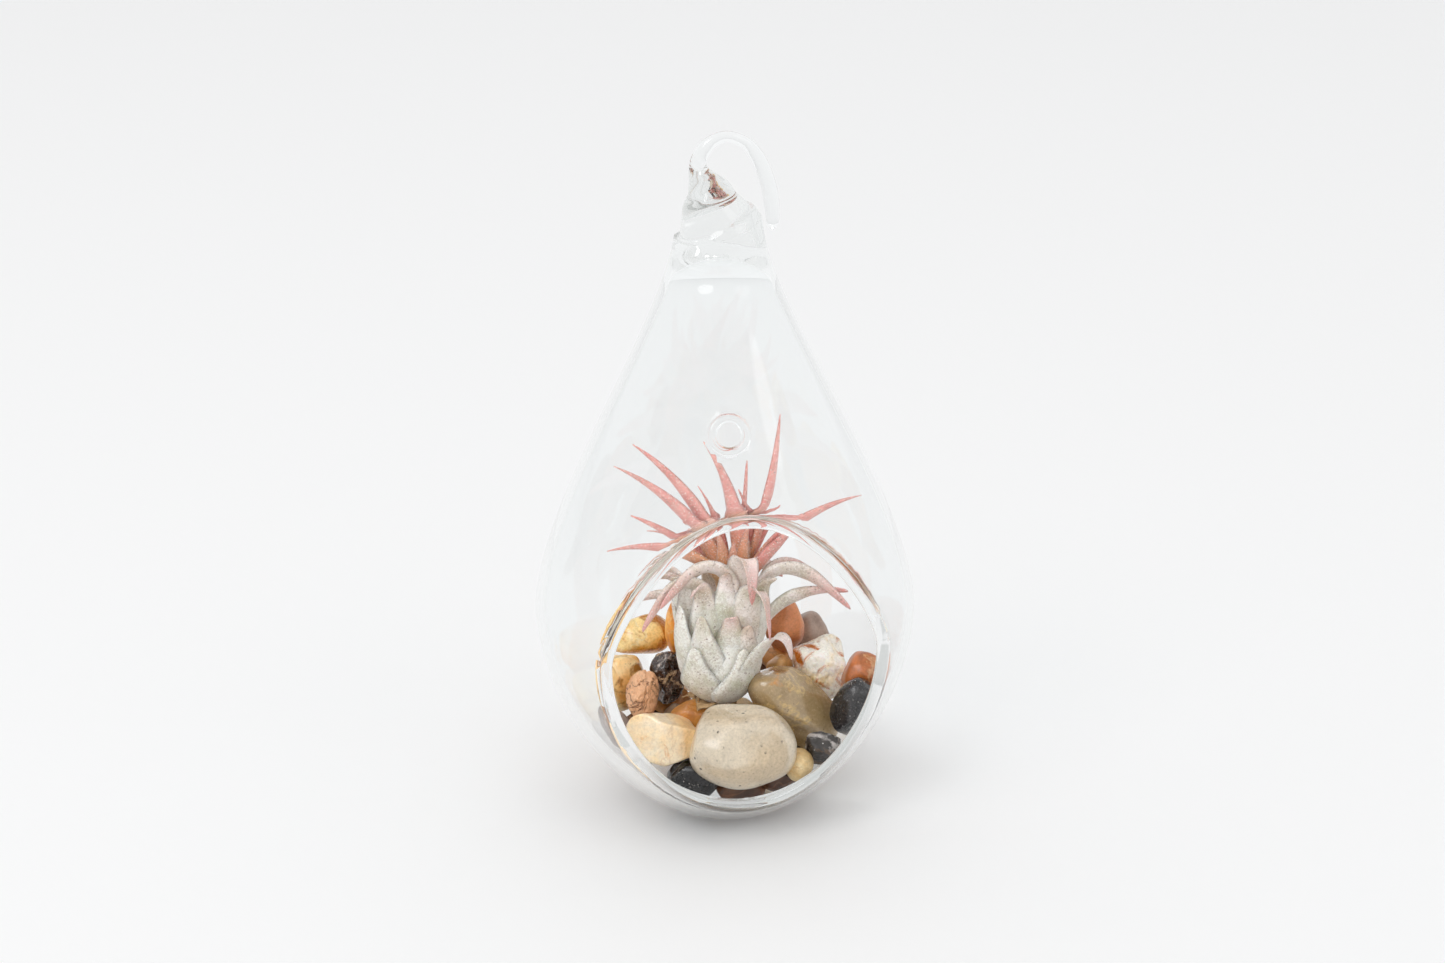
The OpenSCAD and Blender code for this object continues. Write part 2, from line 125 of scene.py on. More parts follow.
def loft(bm, rings, closeEnds=True):
    loops = [firstLoop(bm, rings[0])]
    for places in rings[1:]:
        loops.append(drawOn(bm, loops[-1], places))
    if closeEnds:
        bm.faces.new(list(reversed(loops[0])))
        bm.faces.new(loops[-1])
    return loops


def ringAt(radius, z, sides):
    turns = [2 * math.pi * i / sides for i in range(sides)]
    return [Vector((radius * math.cos(a), radius * math.sin(a), z)) * mm for a in turns]


def finishNormals(bm):
    bmesh.ops.recalc_face_normals(bm, faces=bm.faces[:])


def newMaterial(name):
    material = bpy.data.materials.new(name)
    material.use_nodes = True
    tree = material.node_tree
    return material, tree, tree.nodes["Principled BSDF"], tree.nodes["Material Output"]


def addNode(tree, kind, inputs=None, **values):
    node = tree.nodes.new(kind)
    for key, value in values.items():
        setattr(node, key, value)
    for key, value in (inputs or {}).items():
        node.inputs[key].default_value = value
    return node


def newGroup(name, ins, outs):
    group = bpy.data.node_groups.new(name, "ShaderNodeTree")
    for label, kind, value in ins:
        socket = group.interface.new_socket(name=label, in_out="INPUT", socket_type=kind)
        socket.default_value = value
    for label, kind in outs:
        group.interface.new_socket(name=label, in_out="OUTPUT", socket_type=kind)
    entry = group.nodes.new("NodeGroupInput")
    leave = group.nodes.new("NodeGroupOutput")
    return group, entry, leave


def feed(tree, socket, value):
    # links another node's output into the socket, or writes a plain value there
    if isinstance(value, bpy.types.NodeSocket):
        tree.links.new(value, socket)
    else:
        socket.default_value = value


def mixColours(tree, factor, first, second, blend="MIX"):
    node = addNode(tree, "ShaderNodeMix", data_type="RGBA", blend_type=blend)
    # the mix node's colour sockets come after those for numbers and vectors
    for index, value in ((0, factor), (6, first), (7, second)):
        feed(tree, node.inputs[index], value)
    return node.outputs[2]


def rangeOf(tree, value, low, high, outLow=0.0, outHigh=1.0):
    node = addNode(tree, "ShaderNodeMapRange", clamp=True)
    for index, item in enumerate((value, low, high, outLow, outHigh)):
        feed(tree, node.inputs[index], item)
    return node.outputs[0]


def doMath(tree, operation, first, second=0.0):
    node = addNode(tree, "ShaderNodeMath", operation=operation)
    feed(tree, node.inputs[0], first)
    feed(tree, node.inputs[1], second)
    return node.outputs[0]


def onObject(tree, kind, inputs):
    # a texture laid over the piece by its own object coordinates
    coords = addNode(tree, "ShaderNodeTexCoord")
    node = addNode(tree, kind, inputs)
    tree.links.new(coords.outputs["Object"], node.inputs["Vector"])
    return node


def addRelief(tree, shader, height, strength, distance):
    bump = addNode(tree, "ShaderNodeBump", {"Strength": strength, "Distance": distance})
    tree.links.new(height, bump.inputs["Height"])
    tree.links.new(bump.outputs["Normal"], shader.inputs["Normal"])


def setShader(shader, values):
    for socket, value in values.items():
        shader.inputs[socket].default_value = value


def rgb(hexCode):
    # a written screen colour as the linear values that the shaders take
    parts = [int(hexCode[i:i + 2], 16) / 255 for i in (0, 2, 4)]
    return tuple(p / 12.92 if p <= 0.04045 else ((p + 0.055) / 1.055) ** 2.4 for p in parts) + (1.0,)


print("helpers ready")

# the surface, the colour of its shadow seen straight and at the edge, the bounce after which a ray
# goes straight on, and the grey that long paths take on
glassLook = {"surface": {"Base Color": (0.985, 0.995, 0.995, 1.0), "Roughness": 0.0, "IOR": 1.46,
                         "Transmission Weight": 1.0},
             "clear": (0.93, 0.945, 0.95, 1.0), "edgeShadow": (0.45, 0.5, 0.53, 1.0), "edge": (0.25, 0.95),
             "edgeBlend": 0.35, "deepRay": 3.5, "depth": {"Color": (0.8, 0.81, 0.8, 1.0), "Density": 22.0},
             "waves": {"Scale": 28.0, "Detail": 1.0}, "relief": (0.05, 0.0006)}


def makeGlassMaterial():
    material, tree, shader, output = newMaterial("clearGlass")
    look = glassLook
    setShader(shader, look["surface"])
    # faint waves of hand blown glass
    waves = onObject(tree, "ShaderNodeTexNoise", look["waves"])
    addRelief(tree, shader, waves.outputs["Fac"], *look["relief"])
    # shadow rays and very deep rays pass straight through
    path = addNode(tree, "ShaderNodeLightPath")
    clear = addNode(tree, "ShaderNodeBsdfTransparent")
    facing = addNode(tree, "ShaderNodeLayerWeight", {"Blend": look["edgeBlend"]})
    edge = rangeOf(tree, facing.outputs["Facing"], *look["edge"])
    veil = mixColours(tree, edge, look["clear"], look["edgeShadow"])
    tree.links.new(mixColours(tree, path.outputs["Is Shadow Ray"], (1, 1, 1, 1), veil), clear.inputs["Color"])
    mixed = addNode(tree, "ShaderNodeMixShader")
    deep = doMath(tree, "GREATER_THAN", path.outputs["Ray Depth"], look["deepRay"])
    tree.links.new(doMath(tree, "MAXIMUM", path.outputs["Is Shadow Ray"], deep), mixed.inputs[0])
    tree.links.new(shader.outputs[0], mixed.inputs[1])
    tree.links.new(clear.outputs[0], mixed.inputs[2])
    tree.links.new(mixed.outputs[0], output.inputs["Surface"])
    depth = addNode(tree, "ShaderNodeVolumeAbsorption", look["depth"])
    tree.links.new(depth.outputs[0], output.inputs["Volume"])
    return material


# the hook's middle line and thickness: along X in mm, up as a share of its height, radius over the neck's
hookStations = [
    (0, 0, 0.99), (-0.4, 0.06, 0.93), (-1, 0.13, 0.82), (-1.9, 0.26, 0.68), (-2.7, 0.41, 0.52), (-4, 0.54, 0.34),
    (-5, 0.66, 0.215), (-4.8, 0.77, 0.18), (-3.2, 0.89, 0.17), (-1.2, 0.96, 0.145), (1.6, 1, 0.13), (4.4, 0.98, 0.13),
    (7.6, 0.9, 0.14), (9.8, 0.77, 0.16), (11.4, 0.62, 0.17), (12.6, 0.45, 0.18), (13.3, 0.28, 0.18), (13.6, 0.11, 0.16),
    (13.6, 0.01, 0.13), (13.6, -0.02, 0.08),
]


def spline(a, b, c, d, t):
    return 0.5 * (2 * b + (c - a) * t + (2 * a - 5 * b + 4 * c - d) * t * t + (3 * b - a - 3 * c + d) * t ** 3)


def hookPath(split):
    s = glassSizes
    rows = []
    last = len(hookStations) - 1
    for i in range(last):
        four = [hookStations[max(0, min(last, i + k))] for k in (-1, 0, 1, 2)]
        for k in range(split):
            rows.append([spline(*[f[j] for f in four], k / split) for j in range(3)])
    rows.append(list(hookStations[last]))
    return [(Vector((x, 0, s["neckZ"] + s["hookH"] * up)), thick * s["neckR"]) for x, up, thick in rows]


def hookRings(sides):
    path = hookPath(glassSizes["hookSplit"])
    rings = []
    for i, (point, radius) in enumerate(path):
        along = (path[min(len(path) - 1, i + 1)][0] - path[max(0, i - 1)][0]).normalized()
        out = Vector((0, 1, 0)).cross(along)
        rings.append([(point + radius * (math.cos(2 * math.pi * k / sides) * out
                                         + math.sin(2 * math.pi * k / sides) * Vector((0, 1, 0)))) * mm
                      for k in range(sides)])
    # two smaller rings that round the tip
    along = (path[-1][0] - path[-2][0]).normalized()
    centre, radius = path[-1][0], path[-1][1]
    for grow, out in ((0.8, 0.5), (0.45, 0.8)):
        rings.append([(centre + along * out * radius) * mm + (v - centre * mm) * grow
                      for v in rings[len(path) - 1]])
    return rings


def cutY(z):
    s = glassSizes
    y0, y1 = -outerR(s["openLow"]), -outerR(s["openHigh"])
    return y0 + (z - s["openLow"]) * (y1 - y0) / (s["openHigh"] - s["openLow"])


def rimPath(count):
    s = glassSizes
    middle = (s["openLow"] + s["openHigh"]) / 2
    path = []
    # where the cut meets the middle of the wall, found by halving
    for i in range(count):
        a = 2 * math.pi * i / count
        low, high = s["rimLeast"], s["rimMost"]
        for _ in range(s["rimHalvings"]):
            t = (low + high) / 2
            z = middle + t * math.cos(a)
            over = math.hypot(t * math.sin(a), cutY(z)) - (outerR(z) - s["wall"] / 2)
            low, high = (low, t) if over > 0 else (t, high)
        path.append(Vector((t * math.sin(a), cutY(z), z)))
    return path


def beadLoops(count, turns):
    # loops along the rim, set round its round section from the outside of the wall to the inside
    s = glassSizes
    path = rimPath(count)
    middle = sum(path, Vector()) / count
    radius = s["rimD"] / 2
    start = math.asin(s["wall"] / 2 / radius)
    loops = [[] for _ in range(turns + 1)]
    for i, point in enumerate(path):
        along = (path[(i + 1) % count] - path[i - 1]).normalized()
        flat = Vector((point.x, point.y, 0)).normalized()
        slope = outerR(point.z + 0.5) - outerR(point.z - 0.5)
        out = Vector((flat.x, flat.y, -slope)).normalized()
        out = (out - along * out.dot(along)).normalized()
        wall = along.cross(out)
        if wall.dot(point - middle) < 0:
            wall = -wall
        for k in range(turns + 1):
            a = start + (2 * math.pi - 2 * start) * k / turns
            loops[k].append((point + radius * (math.cos(a) * wall + math.sin(a) * out)) * mm)
    return loops


def borderLoops(bm):
    # open edges sorted into their loops, the longest first
    left = {e for e in bm.edges if e.is_boundary}
    found = []
    while left:
        group = [left.pop()]
        for edge in group:
            for vert in edge.verts:
                for other in vert.link_edges:
                    if other in left:
                        left.remove(other)
                        group.append(other)
        found.append(group)
    return sorted(found, key=lambda g: -sum(e.calc_length() for e in g))


def applyBoolean(target, tool, operation):
    change = target.modifiers.new("join", "BOOLEAN")
    change.operation = operation
    change.solver = "EXACT"
    change.object = tool
    graph = bpy.context.evaluated_depsgraph_get()
    joined = bpy.data.meshes.new_from_object(target.evaluated_get(graph))
    target.modifiers.clear()
    old = target.data
    target.data = joined
    bpy.data.meshes.remove(old)
    bpy.data.objects.remove(tool, do_unlink=True)


def makeGlass():
    s = glassSizes
    sides = s["sides"]
    bm = bmesh.new()
    # outside: ground flat, softened edge, round bottom, shoulder, neck and hook in one draw
    heights = [0.35, 0.9]
    heights += [s["bellyZ"] * (1 - math.cos(math.pi / 2 * i / s["lowRows"])) for i in range(5, s["lowRows"])]
    heights += [s["bellyZ"] + (s["neckZ"] - s["bellyZ"]) * i / s["upRows"] for i in range(s["upRows"])]
    rings = [ringAt(outerR(0) * share, z, sides) for share, z in ((0.5, 0.0), (0.93, 0.0), (1, 0.08))]
    rings += [ringAt(outerR(z), z, sides) for z in heights] + hookRings(sides)
    loops = loft(bm, rings, closeEnds=False)
    for loop in (loops[0], loops[-1]):
        bmesh.ops.contextual_create(bm, geom=loopEdges(bm, loop))
    finishNormals(bm)
    # inside of the hollow, its own closed skin that faces into the hollow
    outerFaces = set(bm.faces)
    low = s["baseT"]
    inside = [low + 0.06, low + 0.3]
    inside += [s["bellyZ"] - (s["bellyZ"] - low) * math.cos(math.pi / 2 * i / s["lowRows"])
               for i in range(4, s["lowRows"])]
    domeZ = s["neckZ"] - s["thicken"]
    inside += [s["bellyZ"] + (domeZ - s["bellyZ"]) * i / s["innerRows"] for i in range(s["innerRows"] + 1)]
    inside += [domeZ + (s["thicken"] - s["neckSolid"]) * math.sin(math.pi / 2 * i / s["domeRows"])
               for i in range(1, s["domeRows"])]
    inside += [s["neckZ"] - s["domeStop"]]
    innerLoops = loft(bm, [ringAt(innerR(z), z, sides) for z in inside], closeEnds=False)
    for loop in (innerLoops[0], innerLoops[-1]):
        bmesh.ops.contextual_create(bm, geom=loopEdges(bm, loop))
    innerFaces = [f for f in bm.faces if f not in outerFaces]
    bmesh.ops.recalc_face_normals(bm, faces=innerFaces)
    bmesh.ops.reverse_faces(bm, faces=innerFaces)
    # the flat cut that opens the front, set back from the rim by most of its thickness
    planeUp = Vector((0, cutY(s["openHigh"]) - cutY(s["openLow"]), s["openHigh"] - s["openLow"])).normalized()
    planeOut = planeUp.cross(Vector((1, 0, 0)))
    if planeOut.y > 0:
        planeOut = -planeOut
    cutAt = (Vector((0, cutY(s["openLow"]), s["openLow"])) - planeOut * s["rimD"] * 0.5) * mm
    bmesh.ops.bisect_plane(bm, geom=bm.verts[:] + bm.edges[:] + bm.faces[:], dist=1e-7,
                           plane_co=cutAt, plane_no=planeOut, clear_outer=True)
    outerBorder, innerBorder = borderLoops(bm)
    # rolled rim between the two skins
    bead = loft(bm, beadLoops(s["rimPoints"], s["rimTurns"]), closeEnds=False)
    bmesh.ops.bridge_loops(bm, edges=outerBorder + loopEdges(bm, bead[0]))
    bmesh.ops.bridge_loops(bm, edges=innerBorder + loopEdges(bm, bead[-1]))
    finishNormals(bm)
    bmesh.ops.triangulate(bm, faces=[f for f in bm.faces if len(f.verts) > 4])
    glass = newPiece("blown_glass", bm, makeGlassMaterial())
    print("glass drop", len(glass.data.polygons))

    # vent with its melted lip
    tilt = math.atan2(outerR(s["ventZ"] - 1) - outerR(s["ventZ"] + 1), 2)
    place = (Matrix.Rotation(-math.radians(s["ventTurn"]), 4, "Z")
             @ Matrix.Translation(Vector((0, -(outerR(s["ventZ"]) - s["wall"] / 2), s["ventZ"])) * mm)
             @ Matrix.Rotation(math.pi / 2 - tilt, 4, "X"))
    lipR = s["ventLip"] / 2
    drillR = (s["ventD"] / 2 + lipR) * mm
    bm = bmesh.new()
    bmesh.ops.create_cone(bm, cap_ends=True, segments=s["ventSides"], radius1=drillR, radius2=drillR,
                          depth=s["drillLong"] * mm, matrix=place)
    applyBoolean(glass, newPiece("drill_tool", bm, None), "DIFFERENCE")
    bm = bmesh.new()
    bmesh.ops.create_circle(bm, segments=s["lipSides"], radius=lipR * mm,
                            matrix=Matrix.Translation(Vector((s["ventD"] / 2 + lipR, 0, 0)) * mm)
                            @ Matrix.Rotation(math.pi / 2, 4, "X"))
    bmesh.ops.spin(bm, geom=bm.verts[:] + bm.edges[:], cent=(0, 0, 0), axis=(0, 0, 1), angle=2 * math.pi,
                   steps=s["ventSides"], use_merge=True, use_duplicate=False)
    bmesh.ops.remove_doubles(bm, verts=bm.verts[:], dist=1e-7)
    bmesh.ops.transform(bm, matrix=place, verts=bm.verts[:])
    finishNormals(bm)
    applyBoolean(glass, newPiece("lip_tool", bm, None), "UNION")
    for face in glass.data.polygons:
        face.use_smooth = True
    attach(glass, "root")
    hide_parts("glass_vessel")
    print("glass joined", len(glass.data.polygons))
    return glass


glass = makeGlass()

# one group makes every stone's skin, and each stone sets its inputs
stoneGroupIns = [
    ("Base", "NodeSocketColor", (0.5, 0.5, 0.5, 1)), ("Second", "NodeSocketColor", (0.4, 0.3, 0.2, 1)),
    ("Third", "NodeSocketColor", (0.2, 0.1, 0.1, 1)), ("Patch Scale", "NodeSocketFloat", 90.0),
    ("Patch Level", "NodeSocketFloat", 0.5), ("Third Level", "NodeSocketFloat", 0.62),
    ("Speck Scale", "NodeSocketFloat", 900.0), ("Speck Amount", "NodeSocketFloat", 0.4),
    ("Speck Colour", "NodeSocketColor", (0.05, 0.04, 0.03, 1)), ("Vein Amount", "NodeSocketFloat", 0.3),
    ("Vein Colour", "NodeSocketColor", (0.3, 0.15, 0.05, 1)), ("Vein Scale", "NodeSocketFloat", 60.0),
]


def makeStoneGroup():
    group, entry, leave = newGroup("stoneSkin", stoneGroupIns, [
        ("Color", "NodeSocketColor"), ("Height", "NodeSocketFloat"), ("Grain", "NodeSocketFloat")])
    coords = addNode(group, "ShaderNodeTexCoord")

    def cloud(scale, detail=5.0, distortion=0.0, offset=0.0):
        node = addNode(group, "ShaderNodeTexNoise", {"Detail": detail, "Roughness": 0.6, "Distortion": distortion})
        shift = addNode(group, "ShaderNodeMapping", {"Location": (offset, offset * 0.7, -offset)})
        group.links.new(coords.outputs["Object"], shift.inputs["Vector"])
        group.links.new(shift.outputs["Vector"], node.inputs["Vector"])
        feed(group, node.inputs["Scale"], scale)
        return node.outputs["Fac"]

    patch = cloud(entry.outputs["Patch Scale"], 4.0, 0.8)
    patchMask = rangeOf(group, patch, doMath(group, "SUBTRACT", entry.outputs["Patch Level"], 0.09),
                        doMath(group, "ADD", entry.outputs["Patch Level"], 0.09))
    colour = mixColours(group, patchMask, entry.outputs["Base"], entry.outputs["Second"])
    third = cloud(doMath(group, "MULTIPLY", entry.outputs["Patch Scale"], 1.4), 6.0, 1.2, 0.37)
    thirdMask = rangeOf(group, third, entry.outputs["Third Level"],
                        doMath(group, "ADD", entry.outputs["Third Level"], 0.08))
    colour = mixColours(group, thirdMask, colour, entry.outputs["Third"])
    # thin veins and cracks where the noise crosses its middle
    vein = cloud(entry.outputs["Vein Scale"], 5.0, 0.6, 0.91)
    ridge = doMath(group, "ABSOLUTE", doMath(group, "SUBTRACT", vein, 0.5))
    veinMask = rangeOf(group, ridge, 0.0, 0.022, 1.0, 0.0)
    veinMask = doMath(group, "MULTIPLY", veinMask, entry.outputs["Vein Amount"])
    colour = mixColours(group, veinMask, colour, entry.outputs["Vein Colour"])
    # grains and specks
    cells = addNode(group, "ShaderNodeTexVoronoi")
    group.links.new(coords.outputs["Object"], cells.inputs["Vector"])
    group.links.new(entry.outputs["Speck Scale"], cells.inputs["Scale"])
    speck = rangeOf(group, cells.outputs["Distance"], 0.1, 0.24, 1.0, 0.0)
    rare = rangeOf(group, cloud(420.0, 3.0, 0.0, 0.2), 0.5, 0.62)
    speckMask = doMath(group, "MULTIPLY", doMath(group, "MULTIPLY", speck, rare), entry.outputs["Speck Amount"])
    colour = mixColours(group, speckMask, colour, entry.outputs["Speck Colour"])
    grain = cloud(1500.0, 4.0, 0.0, 0.5)
    shade = rangeOf(group, grain, 0.3, 0.7, 0.86, 1.1)
    broad = rangeOf(group, cloud(160.0, 3.0, 0.3, 0.13), 0.3, 0.7, 0.88, 1.08)
    shade = doMath(group, "MULTIPLY", shade, broad)
    grey = addNode(group, "ShaderNodeCombineColor")
    for index in range(3):
        group.links.new(shade, grey.inputs[index])
    colour = mixColours(group, 1.0, colour, grey.outputs[0], "MULTIPLY")
    group.links.new(colour, leave.inputs["Color"])
    height = doMath(group, "SUBTRACT", doMath(group, "MULTIPLY", grain, 0.4), doMath(group, "MULTIPLY", veinMask, 0.6))
    height = doMath(group, "SUBTRACT", height, doMath(group, "MULTIPLY", speckMask, 0.5))
    group.links.new(height, leave.inputs["Height"])
    group.links.new(grain, leave.inputs["Grain"])
    return group


stoneGroup = makeStoneGroup()


stoneColours = ("Base", "Second", "Third", "Speck Colour", "Vein Colour")
stoneValues = {"patchScale": "Patch Scale", "patchLevel": "Patch Level", "thirdLevel": "Third Level",
               "speckScale": "Speck Scale", "specks": "Speck Amount", "veins": "Vein Amount",
               "veinScale": "Vein Scale"}
# what a stone has unless its own row says otherwise: finish, then the wear of its shape
stoneUsual = {"rough": 0.38, "glow": 0.0, "polish": 0.15, "bump": 0.35,
              "lumps": 0.16, "flats": 10, "planes": [], "edge": 15, "swell": 0.05, "pits": 0.0, "grow": 1.12}
stoneFinish = {"Subsurface Radius": (0.003, 0.002, 0.001), "Subsurface Scale": 0.6, "Coat Roughness": 0.18}


def makeStoneMaterial(name, colours, look):
    material, tree, shader, _ = newMaterial(name + "Skin")
    skin = addNode(tree, "ShaderNodeGroup")
    skin.node_tree = stoneGroup
    for socket, colour in zip(stoneColours, colours.split()):
        skin.inputs[socket].default_value = rgb(colour)
    for key, socket in stoneValues.items():
        if key in look:
            skin.inputs[socket].default_value = look[key]
    tree.links.new(skin.outputs["Color"], shader.inputs["Base Color"])
    rough = rangeOf(tree, skin.outputs["Grain"], 0.3, 0.7, look["rough"] - 0.05, look["rough"] + 0.1)
    tree.links.new(rough, shader.inputs["Roughness"])
    setShader(shader, {"Subsurface Weight": look["glow"], "Coat Weight": look["polish"], **stoneFinish})
    addRelief(tree, shader, skin.outputs["Height"], look["bump"], 0.0002)
    return material


# half sizes and turns as in the solids, the colours of stoneColours in order, then the finish
creamLook = ("FBE2B4 E8BE7C C48E48 8A6237 A06A2E", {"patchLevel": 0.54, "specks": 0.3, "veins": 0.3, "glow": 0.12,
             "polish": 0.3})
tanLook = ("DA9C5A B8773C 824F24 4B2C16 5E3718", {"patchLevel": 0.52, "specks": 0.4, "veins": 0.3, "polish": 0.3})
greyLook = ("A39A8C 7F7465 574C42 2C2620 C9C2B5", {"patchLevel": 0.52, "specks": 0.5, "veins": 0.2, "polish": 0.3})
# brown and dark stone colours, partly painted shade: set low among the bed stones to darken the crevices
brownStoneAndShadeLook = ("70462A 4C2C18 2E190D 1B0F08 A8714A", {"grow": 1.2, "patchLevel": 0.52, "specks": 0.4, "veins": 0.3,
             "polish": 0.35})
darkStoneAndShadeLook = ("2E2A29 1C1A19 4A4440 9A958F 8F8A84", {"grow": 1.22, "thirdLevel": 0.64, "specks": 0.6, "veins": 0.15,
            "rough": 0.25, "polish": 0.4})
stoneSettings = {
    "grey_pebble": ((13, 10.5, 8.5), (35, 0, 8), "DDCEB6 CAB596 EADFCC 3A2F22 8B8070", {"patchScale": 60.0,
        "patchLevel": 0.52, "specks": 1.0, "speckScale": 430.0, "veins": 0.12, "rough": 0.3, "polish": 0.9,
        "glow": 0.05, "flats": 2, "lumps": 0.06, "edge": 9, "swell": 0.03, "planes": [((0.5, 0.85, 0.0), 0.78),
        ((-0.9, 0.42, 0.0), 0.84), ((-0.72, -0.7, 0.0), 0.84), ((0.1, -1, 0.1), 0.88), ((1, -0.15, 0.05), 0.94),
        ((0.85, 0.3, 0.45), 0.86), ((-0.05, 0.62, 0.78), 0.74), ((0.05, -0.5, 0.87), 0.78),
        ((-0.6, 0.1, 0.8), 0.86)]}),
    "cream_pebble": ((9.5, 7.5, 7.5), (20, 20, 0), "FFEACB F9D49E E2A35A B98A50 C08A4A", {"patchScale": 60.0,
        "patchLevel": 0.53, "thirdLevel": 0.6, "specks": 0.25, "veins": 0.25, "rough": 0.32, "polish": 0.4,
        "glow": 0.2, "edge": 26, "flats": 3, "lumps": 0.14, "grow": 1.1, "planes": [((0.15, 0.45, 0.88), 0.72),
        ((-0.75, -0.55, 0.35), 0.72), ((0.95, 0.2, 0.25), 0.8), ((0.2, -0.72, 0.66), 0.78),
        ((-0.55, 0.75, 0.3), 0.8), ((0.65, -0.6, -0.45), 0.8), ((-0.2, -0.6, -0.75), 0.8),
        ((-0.9, 0.1, -0.4), 0.86)]}),
    "olive_pebble": ((15, 7.5, 7.5), (0, 45, 0), "BDA37C 9C8156 D08F45 4A3716 D9B878", {"patchScale": 48.0,
        "patchLevel": 0.5, "thirdLevel": 0.6, "specks": 0.5, "veins": 0.7, "veinScale": 45.0, "rough": 0.2,
        "polish": 0.8, "glow": 0.12, "edge": 20, "flats": 4, "lumps": 0.18, "grow": 1.08,
        "planes": [((0.1, -0.75, 0.65), 0.76), ((-0.3, -0.3, 0.9), 0.8), ((0.95, -0.2, 0.2), 0.86),
        ((0.3, -0.8, -0.5), 0.8), ((-0.9, 0.1, 0.4), 0.86)]}),
    "quartz_pebble": ((6.5, 7, 8), (-20, 0, 0), "FFF8EC F5D8A4 C8701C A05A1C A85E1C", {"patchScale": 85.0,
        "patchLevel": 0.58, "thirdLevel": 0.56, "specks": 0.3, "veins": 0.4, "veinScale": 70.0, "rough": 0.28,
        "polish": 0.5, "glow": 0.25, "lumps": 0.26, "edge": 32, "flats": 16, "pits": 0.08, "grow": 1.12}),
    "black_pebble": ((5, 5, 8), (0, 25, 0), "322F30 1F1D1E 565150 B9B4AE 77716C", {"specks": 1.0,
        "speckScale": 1100.0, "veins": 0.1, "rough": 0.22, "polish": 0.5, "bump": 0.9, "grow": 1.1}),
    "rust_pebble": ((5, 5, 5), (0, 0, 0), "D4783A A85C28 E0AE72 4E2B12 E8C192", {"specks": 0.4, "veins": 0.5,
        "polish": 0.5, "grow": 1.3}),
    "brown_pebble": ((5, 5, 7.5), (0, 0, 0), "D48654 B86E42 CF9168 5B331D D9AE8A", {"specks": 0.4, "veins": 0.1,
        "rough": 0.3, "polish": 0.3, "grow": 1.1, "lumps": 0.1}),
    "mauve_pebble": ((5.5, 5, 6.5), (0, 0, 0), "B09686 987F71 AD998C 4D3F37 C5B4A7", {"specks": 0.5, "veins": 0.1,
        "grow": 1.1, "lumps": 0.1}),
    "amber_pebble": ((9, 5, 5.5), (0, 0, 0), "FFDF98 F0AE40 BC7414 8F5E1C F8E7B8", {"patchScale": 75.0,
        "thirdLevel": 0.54, "specks": 0.3, "veins": 0.6, "glow": 0.15, "rough": 0.25, "polish": 0.5, "grow": 1.08,
        "lumps": 0.2}),
    "orange_pebble": ((5, 4.5, 9), (0, 0, 0), "FFB044 DC8628 F2C883 7E4A15 F2D49B", {"specks": 0.4, "veins": 0.4,
        "glow": 0.15, "grow": 1.06}),
    "yellow_pebble": ((6.5, 6.5, 8), (0, -15, 0), "FFE6B2 EDB05C A97028 8F6A3A A8742E", {"patchScale": 80.0,
        "patchLevel": 0.54, "thirdLevel": 0.58, "specks": 0.4, "veins": 0.8, "veinScale": 75.0, "glow": 0.15,
        "polish": 0.4, "grow": 1.08, "lumps": 0.2}),
    "rough_pebble": ((4.2, 4.5, 6.5), (-10, 10, 0), "EBB68C C98A5C E2B98E 3A1F10 5A3018", {"specks": 0.6,
        "veins": 0.8, "veinScale": 120.0, "rough": 0.45, "polish": 0.1, "bump": 1.0, "lumps": 0.3, "edge": 30,
        "flats": 14, "pits": 0.12, "grow": 1.08}),
    "dark_quartz_pebble": ((5, 5.5, 6.5), (0, 0, 0), "6E5245 2E1A10 C9BAB0 180C07 D8B48E", {"patchScale": 120.0,
        "patchLevel": 0.47, "thirdLevel": 0.56, "specks": 0.5, "veins": 0.8, "rough": 0.25, "polish": 0.6,
        "lumps": 0.3, "edge": 30, "flats": 14, "pits": 0.08, "grow": 1.12}),
    "taupe_pebble": ((4, 4, 4.5), (0, 0, 0), "8A7460 6E5947 A5907B 362A1D BBA894", {"specks": 0.4, "veins": 0.2}),
    "caramel_pebble": ((5, 4, 4), (0, 0, 0), "D69444 B4702F D8A262 5E3A18 DDB27A", {"specks": 0.4, "veins": 0.3,
        "polish": 0.5, "grow": 1.15}),
    "slate_pebble": ((3.5, 5, 6), (0, -30, 0), "A3958F 8F817B B8ACA6 5F524C C7BCB6", {"specks": 0.3, "veins": 0.1}),
    "glitter_pebble": ((6.5, 4.5, 5), (0, 0, 0), "1A1819 0E0D0E 3A3637 D9D3CB", {"specks": 1.0,
        "speckScale": 1300.0, "veins": 0.0, "rough": 0.22, "bump": 1.0}),
    "sparkle_pebble": ((4.5, 4, 4), (0, 0, 0), "4A4542 2E2A28 B8B1AC F5F1EB", {"specks": 1.0, "speckScale": 1000.0,
        "thirdLevel": 0.55, "rough": 0.35, "bump": 1.0, "lumps": 0.3, "edge": 34, "flats": 16, "pits": 0.08}),
    "small_cream_pebble": ((3.5, 3.5, 4), (0, 0, 0), "EAD5A8 D8B57C C0935A", {"grow": 1.12}),
    "small_tan_pebble": ((3.5, 3.5, 3.5), (0, 0, 0), "D9A566 BC8545 EACC9A", {"grow": 1.1}),
}
